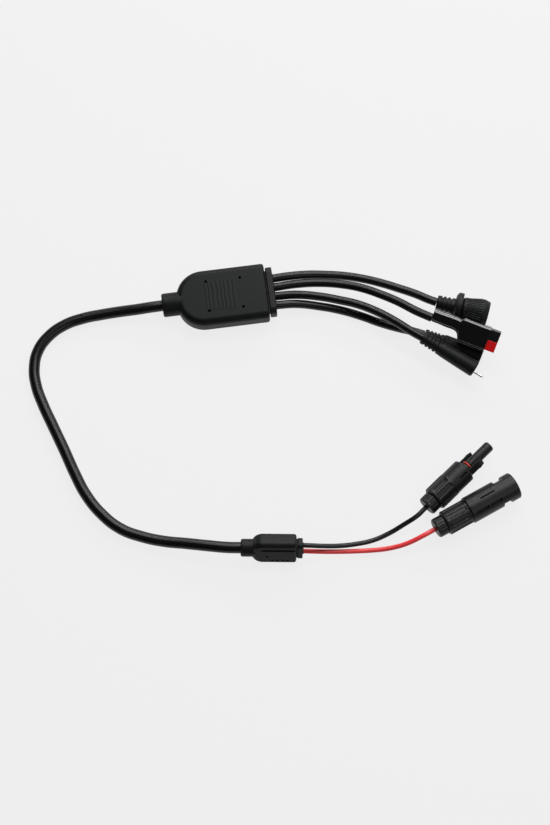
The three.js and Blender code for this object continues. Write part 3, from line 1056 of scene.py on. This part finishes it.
BARREL_ROUTE = (
    (0.0428, -0.0108, 0.009), (0.058, -0.0114, 0.0078), (0.075, -0.0148, 0.0058),
    (0.092, -0.02, 0.0044), (0.1065, -0.0263, 0.0035), (0.1194, -0.0332, 0.0035),
    (0.133, -0.0396, 0.0043), (0.142, -0.0436, 0.0058), (0.1509, -0.0479, 0.0064),
)
NEGATIVE_ROUTE = (
    (0.0382, -0.1972, 0.0139), (0.043, -0.1979, 0.0134), (0.053, -0.1992, 0.0112),
    (0.065, -0.2001, 0.0084), (0.0767, -0.1999, 0.006), (0.089, -0.1986, 0.0042),
    (0.101, -0.1953, 0.0046), (0.1135, -0.1903, 0.0072),
    *(PROBE_AXIS.point(x) for x in WIRE_STATIONS),
)
POSITIVE_ROUTE = (
    (0.0378, -0.2004, 0.0083), (0.043, -0.2012, 0.008), (0.053, -0.2026, 0.0069),
    (0.0643, -0.2038, 0.0054), (0.076, -0.2048, 0.0042), (0.088, -0.2056, 0.0034),
    (0.1, -0.2059, 0.0042), (0.113, -0.2046, 0.007),
    *(SHELL_AXIS.point(x) for x in WIRE_STATIONS),
)


# ---- Cords ----

@dataclass
class Cord:
    """A free round cable on its route.

    Attributes:
        name: The piece's name.
        node: The CAD node that it stands for.
        route: Its points, in metres.
        diameter: Its outside diameter, in metres.
        length: Its real length, in metres.
        far_end: What its far end goes into.
        finish: Its jacket's finish.
        piece: The curve, once it is made.
    """

    name: str
    node: str
    route: Sequence[Point]
    diameter: float
    length: float
    far_end: str
    finish: str = "jacket"
    piece: bpy.types.Object | None = None

    def build(self) -> None:
        """Makes the cable as one smooth curve with its jacket."""
        curve = bpy.data.curves.new(self.name, "CURVE")
        curve.dimensions = "3D"
        curve.bevel_depth = self.diameter / 2
        curve.bevel_resolution = 6
        curve.resolution_u = 10
        curve.use_fill_caps = True
        spline = curve.splines.new("BEZIER")
        spline.bezier_points.add(len(self.route) - 1)
        for point, place in zip(spline.bezier_points, self.route):
            point.co = place
            point.handle_left_type = point.handle_right_type = "AUTO"
        self.piece = linked(self.name, curve)
        Finishes.dress(self.piece, self.finish)
        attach(self.piece, "lead")
        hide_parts(self.node)
        LOG.info("%s: %.1f mm long", self.name, spline.calc_length() / MM)

    def declare(self, fittings: Iterable[bpy.types.Object]) -> None:
        """Does nothing; the cord is not declared to the frame.

        Args:
            fittings: The pieces on its far end; not used.
        """


def lead_cords() -> dict[str, Cord]:
    """Lists the seven cords.

    Returns:
        The cords, by the name of what each leads to.
    """
    outlet, wire = 0.0065, 0.0036
    return {
        "y_splitter": Cord("main_round_cable", "main_cable", MAIN_ROUTE, 0.0085, 0.354, "fitting"),
        "round_plug": Cord("round_plug_cable", "outlet_cable_1", ROUND_ROUTE, outlet, 0.129,
                           "plug"),
        "pair": Cord("paired_plug_cable", "outlet_cable_2", PAIR_ROUTE, outlet, 0.127, "plug"),
        "slim_plug": Cord("slim_plug_cable", "outlet_cable_3", SLIM_ROUTE, outlet, 0.12, "plug"),
        "barrel": Cord("barrel_jack_cable", "outlet_cable_4", BARREL_ROUTE, outlet, 0.116,
                       "connector"),
        "probe": Cord("black_panel_wire", "negative_wire", NEGATIVE_ROUTE, wire, 0.131,
                      "connector"),
        "shell": Cord("red_panel_wire", "positive_wire", POSITIVE_ROUTE, wire, 0.132,
                      "connector", "red_jacket"),
    }


# ---- Splitters ----

@dataclass
class Splitter(Assembly):
    """A soft moulding with a round nose over a hard core whose flange shows at its outlets.

    Attributes:
        prefix: The start of its CAD nodes' names.
        collar_end: The rear end of the round collar.
        collar_radius: The collar's radius.
        body_start: The nose's rear end.
        body_end: The square front end.
        half_width: Half the body's width.
        thickness: The body's thickness.
        nose: The radius of the nose's corners.
        edge: The radius of the body's long rims.
        flange_start: The rear face of the flange.
        flange_end: The front face of the flange.
        flange: The flange's width and height.
        flange_corner: The radius of its corners.
        neck: The width and height of the core behind the flange.
        front_edge: The radius of the rims round the front end.
        pits: The pits in the top face, as x and y.
        pit_radius: The radius of each pit.
        pit_depth: How deep each pit is.
        crease: Where a hollow runs along the top face, or nothing.
        crease_radius: The radius of that hollow.
        crease_lift: How far its axis is above the face.
        outlets: How far each outlet is to the side.
        outlet: The radius of what comes out of it.
        splices: The names of the splices inside.
        finish: The moulding's finish.
    """

    prefix: str = "main_splitter"
    collar_end: float = -42.5
    collar_radius: float = 9.0
    body_start: float = -32.0
    body_end: float = 36.8
    half_width: float = 22.0
    thickness: float = 18.0
    nose: float = 20.8
    edge: float = 5.0
    flange_start: float = 37.7
    flange_end: float = 42.5
    flange: tuple[float, float] = (38.0, 15.0)
    flange_corner: float = 5.0
    neck: tuple[float, float] = (31.0, 11.0)
    front_edge: float = 1.9
    pits: Profile = ()
    pit_radius: float = 1.1
    pit_depth: float = 4.0
    crease: float | None = None
    crease_radius: float = 1.3
    crease_lift: float = 0.4
    outlets: tuple[float, ...] = (10.8, 3.6, -3.6, -10.8)
    outlet: float = 3.0
    splices: tuple[str, str] = ("main_positive_splice", "main_negative_splice")
    finish: str = "ribbed_mould"

    def outline(self) -> list[tuple[float, float]]:
        """Draws the body's plan.

        Returns:
            The outline, run past its square end.
        """
        centre = self.body_start + self.nose
        rise = self.half_width - self.nose
        past = self.body_end + 2 * self.edge
        return [(past, -self.half_width), (past, self.half_width),
                *arc((centre, rise), self.nose, 90, 180, 18),
                *arc((centre, -rise), self.nose, 180, 270, 18)]

    def moulding(self) -> Shape:
        """Shapes the body, its collar and its pits.

        Returns:
            The moulding.
        """
        half = self.thickness / 2
        body = Shape.prism(self.outline(), -half, half)
        body.round_edges(body.rim_edges(60), self.edge, 8).cut_at(self.body_end)
        body.round_edges([e for e in body.rim_edges(60)
                          if min(v.co.x for v in e.verts) > self.body_end - 0.01],
                         self.front_edge, 5)
        reach = self.body_start + self.nose / 2
        collar = Shape.turned([(self.collar_end - 0.5, self.collar_radius - 0.8),
                               (self.collar_end + 0.4, self.collar_radius),
                               (reach, self.collar_radius)], 72, 0.5)
        body.joined(collar)
        tools = [self.pit(x, y) for x, y in self.pits]
        if self.crease is not None:
            hollow = Shape.turned([(self.body_start + 4, 0.2),
                                   (self.body_start + 9, self.crease_radius),
                                   (self.body_end + 1, self.crease_radius)], 32)
            tools.append(hollow.moved(y=self.crease, z=half + self.crease_lift))
        return body.carved(*tools)

    def pit(self, x: float, y: float) -> Shape:
        """Makes the tool for a round pit in the top face.

        Args:
            x: How far along it is.
            y: How far to the side it is.

        Returns:
            The tool.
        """
        tool = Shape()
        bmesh.ops.create_cone(tool.bm, cap_ends=True, segments=28, radius1=self.pit_radius,
                              radius2=self.pit_radius, depth=2 * self.pit_depth,
                              matrix=Matrix.Translation((x, y, self.thickness / 2)))
        return tool

    def core(self) -> Shape:
        """Shapes the visible front of the core.

        Returns:
            The front of the core.
        """
        width, height = self.flange
        flange = Shape.bar(self.flange_start, self.flange_end, width, height,
                           self.flange_corner, 8)
        flange.round_edges(flange.rim_edges(60), 0.6, 3)
        rims = [cylinder(self.flange_end - 1, self.flange_end + 0.7, self.outlet + 0.5, y)
                for y in self.outlets]
        neck = Shape.bar(self.body_end - 4, self.flange_start + 0.5, *self.neck)
        return flange.joined(neck, *rims).softened(0.2, 2, 60)

    def build(self) -> None:
        """Builds the moulding and the core, and keeps the splices inside."""
        self.place(self.moulding(), f"{self.prefix}_moulding", self.finish,
                   [f"{self.prefix}_overmould"])
        self.place(self.core(), f"{self.prefix}_flange", "moulded", [f"{self.prefix}_core"])
        for splice in self.splices:
            self.keep(splice, "tin")


def main_splitter() -> Splitter:
    """Returns the flat four-way splitter with its four pits."""
    return Splitter(MAIN_AXIS, pits=[(x, y) for x in (-8.2, 17.8) for y in (11.75, -11.75)])


def y_splitter() -> Splitter:
    """Gives the small splitter that joins the two panel wires its sizes.

    Returns:
        The splitter.
    """
    return Splitter(
        SMALL_AXIS, prefix="y_splitter", collar_end=0, collar_radius=6.5, body_start=7.5,
        body_end=40, half_width=10.5, thickness=13, nose=8, edge=3.5, flange_start=40.8,
        flange_end=44.5, flange=(15.5, 9.5), flange_corner=3, neck=(13, 7),
        pits=((18.6, -2), *((x, -6.6) for x in (22.5, 26.3, 30.4, 33.7))), pit_radius=0.9,
        crease=4.4, outlets=(3.25, -3.25), outlet=1.7,
        splices=("y_negative_splice", "y_positive_splice"), finish="moulded")


# ---- Panel connectors ----

@dataclass
class PanelConnector(Assembly):
    """What both panel connectors share: a gland nut, a ribbed grip and the parts inside.

    Attributes:
        prefix: The start of its CAD nodes' names.
        grip_end: Where the grip's hollows end.
    """

    prefix: str = "socket"
    grip_end: float = 24.0

    def rear_outline(self) -> list[tuple[float, float]]:
        """Returns the outside of the rear half, from the spigot's end to the grip."""
        return [(2.6, 5.6), (8, 5.6), (8, 8.5), (8.8, 9.4)]

    def bore_outline(self) -> list[tuple[float, float]]:
        """Returns the inside of the rear half, from the contact's way to the spigot's end."""
        return [(16.6, 2.4), (16.6, 4.4), (2.6, 4.4)]

    @staticmethod
    def span(side: int, near: float, far: float) -> tuple[float, float]:
        """Returns a range on one side of the axis, lower end first."""
        return (near, far) if side > 0 else (-far, -near)

    def gland_nut(self) -> None:
        """Builds the gland nut with its shallow grip flutes."""
        outline = filleted([(0, 2.25), (0, 6.5), (0.9, 7.4), (7.7, 7.4), (7.7, 5.9),
                            (2.2, 5.9), (2.2, 2.25)], 0.35, closed=True)
        nut = Shape.ring(sampled(outline, 0.8, closed=True), 144)
        nut.displaced(flutes(12, 0.35, 0.9, 8.6, width=0.62, least_radius=6.7))
        self.place(nut, f"{self.prefix}_nut", "panel_nylon", [f"{self.prefix}_gland_nut"],
                   f"{self.prefix}_nut")

    def inside(self) -> None:
        """Keeps the clamp cage and the seal, which the housing hides."""
        self.keep(f"{self.prefix}_clamp_cage", "nylon")
        self.keep(f"{self.prefix}_cable_seal", "seal_grey")

    def grip(self, outline: Profile) -> Shape:
        """Spins a housing's closed outline and presses the grip's hollows into it."""
        housing = Shape.ring(sampled(filleted(outline, 0.3, closed=True), 1.2, closed=True), 160)
        return housing.displaced(flutes(10, 0.6, 9.2, self.grip_end, 18, least_radius=8.7))


@dataclass
class ProbeConnector(PanelConnector):
    """The panel connector with a round probe and two latch fingers.

    Attributes:
        shoulder: The front face of the housing.
        probe_end: The tip of the probe.
        finger: The start and end of the fingers.
    """

    shoulder: float = 40.0
    probe_end: float = 66.6
    finger: tuple[float, float] = (30.0, 53.6)

    def housing(self) -> None:
        """Builds the housing with the probe, the fingers' windows and the side slits."""
        outline = [
            *self.rear_outline(), (24, 9.4), (25.5, 9.2), (self.shoulder - 0.6, 9.2),
            (self.shoulder, 8.6), (self.shoulder, 4.9), (42.6, 4.9), (42.6, 3.4), (44.8, 3.4),
            (44.8, 4), (self.probe_end - 0.8, 4), (self.probe_end, 3.5), (self.probe_end, 3.1),
            (31, 3.1), (31, 2.4), *self.bore_outline()]
        cuts = []
        for side in (1, -1):
            cuts.append(Shape.block((29.7, 42.5), self.span(side, 5, 7.3), (-3.3, 3.3)))
            cuts.extend(Shape.block((31.4, 38.2), self.span(side, 4.5, 12), (z - 0.6, z + 0.6))
                        for z in (4.2, -4.2))
        self.place(self.grip(outline).carved(*cuts), "probe_housing", "panel_nylon",
                   ["socket_housing"])

    def fingers(self) -> None:
        """Builds the two sprung fingers with their barbs."""
        start, end = self.finger
        for letter, side in (("a", -1), ("b", 1)):
            outline = [(start, 5.5), (end - 0.6, 5.5), (end, 6.1), (end, 6.4), (end - 4.2, 7.5),
                       (end - 6, 7), (start, 7)]
            finger = Shape.prism([(x, y * side) for x, y in outline], -3, 3).softened(0.3)
            self.place(finger, f"probe_finger_{letter}", "panel_nylon",
                       [f"socket_latch_{letter}"], f"socket_finger_{letter}")

    def front(self) -> None:
        """Builds the sealing ring and the socket contact in the probe's bore."""
        self.place(Shape.ring(arc((43.7, 4.12), 0.68, 0, 337.5, 15)), "probe_sealing_ring",
                   "seal_red", ["socket_o_ring"])
        contact = Shape.ring([(31.9, 0.4), (31.9, 2.1), (38, 2.1), (38, 2.8), (64.6, 2.8),
                              (64.6, 2.05), (40, 2.05), (40, 0.4)], 48, 0.15)
        self.place(contact, "probe_contact_tube", "tin", ["socket_contact"])

    def build(self) -> None:
        """Builds the whole connector."""
        self.housing()
        self.fingers()
        self.front()
        self.gland_nut()
        self.inside()


@dataclass
class ShellConnector(PanelConnector):
    """The panel connector with an open shell round its pin.

    Attributes:
        seam: Where the shell meets the grip.
        shell_radius: The shell's outside radius.
        shell_end: The shell's front end.
        neck: The range of the two side notches.
        neck_half: Half the width between them.
        slot_floor: How far from the axis the long slots reach.
        slots: The long slots: start, end, how far to the side, and half the width.
    """

    prefix: str = "pin"
    grip_end: float = 26.5
    seam: float = 28.0
    shell_radius: float = 10.2
    shell_end: float = 67.6
    neck: tuple[float, float] = (52.8, 60.2)
    neck_half: float = 8.1
    slot_floor: float = 6.9
    slots: tuple[tuple[float, float, float, float], ...] = (
        (31, 41.3, -3.9, 1), (42.6, 52.4, -3.9, 1), (38, 50, 4.2, 0.5))

    def shell(self) -> None:
        """Builds the housing with its notches and its long slots."""
        radius, end = self.shell_radius, self.shell_end
        outline = [
            *self.rear_outline(), (27, 9.4), (27.3, 9.0), (27.6, 9.0), (self.seam, radius),
            (end - 0.8, radius),
            (end, radius - 0.8), (end, 7), (33, 7), (33, 2.4), *self.bore_outline()]
        cuts = []
        for side in (1, -1):
            notch = Shape.block(self.neck, self.span(side, self.neck_half, 12), (-12, 12))
            cuts.append(notch.softened(0.5))
            cuts.extend(Shape.block((start, end), (y * side - half, y * side + half),
                                    self.span(side, self.slot_floor, 12))
                        for start, end, y, half in self.slots)
        self.place(self.grip(outline).carved(*cuts), "shell_housing", "panel_nylon",
                   ["pin_housing"])

    def pin(self) -> None:
        """Builds the contact pin with its rounded tip."""
        pin = Shape.turned([(31.9, 2.1), (35, 2.1), (35, 2), (57.5, 2), (59.3, 1.5), (60, 0.5)],
                           40, 0.6)
        self.place(pin, "shell_contact_pin", "tin", ["pin_contact"])

    def build(self) -> None:
        """Builds the whole connector."""
        self.shell()
        self.pin()
        self.gland_nut()
        self.inside()


# ---- Outlet plugs ----

def ringed_boot(length: float, rear: float, front: float, depth: float,
                count: int) -> list[tuple[float, float]]:
    """Returns a strain relief's profile with ring grooves.

    Args:
        length: The length of the grooved part.
        rear: Its radius at the rear.
        front: Its radius at the front.
        depth: How deep the grooves are.
        count: How many grooves there are.

    Returns:
        The profile, from rear to front.
    """
    pitch = length / (count + 1)
    width = pitch * 0.4
    profile = [(-0.5, rear - 0.3), (0.3, rear)]
    for i in range(1, count + 1):
        x = i * pitch
        radius = rear + (front - rear) * x / length
        profile += [(x - width / 2, radius), (x - width / 2, radius - depth),
                    (x + width / 2, radius - depth), (x + width / 2, radius)]
    return [*profile, (length, front)]


def cylinder(start: float, end: float, radius: float, y: float = 0.0) -> Shape:
    """Makes a plain round tool along X."""
    return Shape.turned([(start, radius), (end, radius)], 32).moved(y=y)


def contact_pin(start: float, end: float, tip: float = 0.4, taper: float = 0.7) -> Shape:
    """Makes a contact pin of 1 mm radius that narrows over its taper to its tip."""
    return Shape.turned([(start, 1), (end - taper, 1), (end, tip)], 32, 0.3)


@dataclass
class RoundPlug(Assembly):
    """The plug that screws on with a knurled coupling nut."""

    def boot(self) -> None:
        """Builds the grooved boot, its flange and the body behind the nut."""
        boot = Shape.turned([
            *ringed_boot(13, 5.6, 6.3, 1, 3), (13.2, 9.4), (14.6, 11.4), (16, 11.6),
            (18.1, 11.6), (18.4, 11.3), (18.4, 6.6), (25.2, 6.6)], 96, 0.3)
        self.place(boot, "round_plug_grip", "moulded", ["round_plug_boot"])

    def coupling_nut(self) -> None:
        """Builds the turning nut with its fine knurl."""
        outline = filleted([(18.8, 7), (18.8, 8.2), (20, 8.9), (24, 9.3), (31.5, 10.9),
                            (35, 11), (39, 9.8), (39, 8.6), (25.2, 8.6), (25.2, 7)], 0.4,
                           closed=True)
        nut = Shape.ring(sampled(outline, 0.8, closed=True), 216)
        nut.displaced(flutes(36, 0.32, 20.4, 35.2, width=0.5, least_radius=8.75))
        self.place(nut, "round_plug_nut", "moulded", ["round_plug_coupling_nut"], "coupling_nut")

    def face(self) -> None:
        """Builds the insert and its two contacts."""
        insert = Shape.turned([(25.5, 8.2), (33, 8.2)], 72, 0.3)
        insert.carved(cylinder(29, 35, 1.3, 3.8), cylinder(29, 35, 1.3, -3.8)).softened(0.2)
        self.place(insert, "round_plug_face", "housing_black", ["round_plug_insert"])
        for letter, y in (("a", 3.8), ("b", -3.8)):
            self.place(contact_pin(29.3, 37.6).moved(y=y), f"round_plug_post_{letter}", "nickel",
                       [f"round_plug_contact_{letter}"])

    def build(self) -> None:
        """Builds the whole plug."""
        self.boot()
        self.coupling_nut()
        self.face()


@dataclass
class PairedPlug(Assembly):
    """Two square housings side by side in a shrunk sleeve.

    Attributes:
        housing: The width and height of each housing.
        rear: The rear end of the housings.
        front: Their front end.
        sections: The sleeve's sections: x, low y, high y, height and squareness.
        sag_depth: How far the sleeve sinks in on average.
        wave_height: How much that varies.
        wave_scale: How many waves there are in a millimetre.
        rim: The length at the sleeve's front over which the sinking ends.
    """

    housing: float = 7.9
    rear: float = 26.0
    front: float = 51.6
    sections: tuple[tuple[float, float, float, float, float], ...] = (
        (-0.7, -2.1, 7.7, 8.8, 2.3), (-0.6, -2.2, 7.8, 8.9, 2.3), (0.4, -2.7, 8.3, 9.9, 2.4),
        (5, -2.6, 8.1, 9.7, 2.5), (11, -2.8, 8.3, 10, 2.5), (16.5, -2.7, 8.2, 9.8, 2.5),
        (19.4, -3.3, 7.9, 9.3, 2.6), (20.6, -4.5, 7.3, 8.8, 2.8), (21.4, -5.9, 8.2, 9.6, 3.1),
        (22.3, -7.9, 9.1, 10.5, 3.6), (23, -9.2, 9.5, 10.9, 4.2), (24.5, -9.3, 9.4, 10.9, 4.6),
        (30, -9.2, 9.3, 10.8, 4.6), (36, -9.2, 9.2, 10.7, 4.6), (42, -9.2, 9.2, 10.8, 4.6),
        (44, -9.2, 9.2, 10.8, 4.8), (44.2, -9, 9, 10.6, 4.8))
    sag_depth: float = 0.12
    wave_height: float = 0.3
    wave_scale: float = 0.13
    rim: float = 1.7

    def sleeve(self) -> None:
        """Builds the shrunk sleeve: a round tail that steps out to the box round the housings."""
        half = self.housing / 2
        pocket = Shape.block((25.4, 46), (-2 * half - 0.15, 2 * half + 0.15),
                             (-half - 0.1, half + 0.1))
        self.place(Shape.lofted(self.sections).displaced(self.sag).carved(pocket),
                   "paired_plug_sleeve", "sleeve", ["pair_sleeve"])

    def sag(self, place: Vector, normal: Vector) -> Vector:
        """Makes the sleeve sink in slow waves that end at its rim.

        Args:
            place: A vertex's place.
            normal: Its normal.

        Returns:
            The move.
        """
        wave = self.sag_depth + noise.noise(place * self.wave_scale) * self.wave_height
        rim = self.sections[-1][0]
        ends = 1 - smoothstep(rim - self.rim, rim, place.x)
        return -normal * (wave * ends)

    def housings(self) -> None:
        """Builds the black and the red housing."""
        for name, finish, side in (("black", "housing_black", 1), ("red", "housing_red", -1)):
            middle = side * (self.housing / 2 + 0.08)
            half = self.housing / 2
            body = Shape.block((self.rear, self.front), (middle - half, middle + half),
                               (-half, half))
            body.carved(
                Shape.block((37, 54), (middle - 2.7, middle + 2.7), (-2.9, 2.9)),
                cylinder(self.rear - 1, 38, 2.2, middle)).softened(0.35, 3)
            self.place(body, f"paired_plug_{name}_housing", finish, [f"pair_{name}_housing"])

    def build(self) -> None:
        """Builds the whole plug and keeps the contacts inside its housings."""
        self.sleeve()
        self.housings()
        for pole in ("negative", "positive"):
            self.keep(f"pair_{pole}_contact", "tin")
            self.keep(f"pair_{pole}_leaf_spring", "spring")


@dataclass
class SlimPlug(Assembly):
    """The slim in-line plug with one pin and one socket."""

    def build(self) -> None:
        """Builds the body, the pin and the socket."""
        body = Shape.turned([
            *ringed_boot(16, 4.7, 5.3, 0.8, 4), (17, 5.5), (30, 6), (44.4, 6.4), (45.4, 5.7)],
            80, 0.3)
        body.carved(cylinder(33, 47, 1.3, -2.3), cylinder(33, 47, 1.8, 2.3))
        self.place(body, "slim_plug_grip", "moulded", ["slim_plug_body"])
        self.place(contact_pin(33.3, 53.4).moved(y=-2.3), "slim_plug_prong", "nickel",
                   ["slim_plug_pin"])
        tube = Shape.ring([(33.3, 0.95), (33.3, 1.5), (44.8, 1.5), (44.8, 0.95)], 32)
        self.place(tube.moved(y=2.3), "slim_plug_tube", "nickel", ["slim_plug_socket"])


@dataclass
class BarrelJack(Assembly):
    """The in-line barrel socket."""

    def build(self) -> None:
        """Builds the body, the outer sleeve and the centre pin."""
        body = Shape.ring([
            (-0.5, 0.5), *ringed_boot(14, 4.6, 5.2, 0.8, 4), (15.5, 5.9), (30, 6.1), (44.7, 6.3),
            (45.5, 5.7), (45.5, 4.3), (33, 4.3), (33, 1.3), (28, 1.3), (28, 0.5)], 80, 0.3)
        self.place(body, "barrel_jack_grip", "moulded", ["barrel_jack_body"])
        sleeve = Shape.ring([(33.3, 3.4), (33.3, 4), (44.6, 4), (44.6, 3.4)], 56, 0.15)
        self.place(sleeve, "barrel_jack_liner", "nickel", ["barrel_jack_sleeve"])
        self.place(contact_pin(28.3, 43.5, 0.5, 0.6), "barrel_jack_pin", "nickel",
                   ["barrel_jack_centre_pin"])


# ---- The whole lead ----

def main() -> None:
    logging.basicConfig(level=logging.INFO, format="%(name)s: %(message)s")
    studio = Studio()
    studio.camera()
    cords = lead_cords()
    for cord in cords.values():
        cord.build()
    assemblies: dict[str, Assembly] = {
        "main_splitter": main_splitter(),
        "y_splitter": y_splitter(),
        "probe": ProbeConnector(PROBE_AXIS),
        "shell": ShellConnector(SHELL_AXIS),
        "round_plug": RoundPlug(ROUND_AXIS),
        "pair": PairedPlug(PAIR_AXIS),
        "slim_plug": SlimPlug(SLIM_AXIS),
        "barrel": BarrelJack(BARREL_AXIS),
    }
    for name, assembly in assemblies.items():
        assembly.build()
        LOG.info("%s: %d pieces", name, len(assembly.pieces))
    for name, cord in cords.items():
        cord.declare(assemblies[name].pieces.values())
    studio.build()
    bpy.context.view_layer.update()


if __name__ == "__main__":
    main()
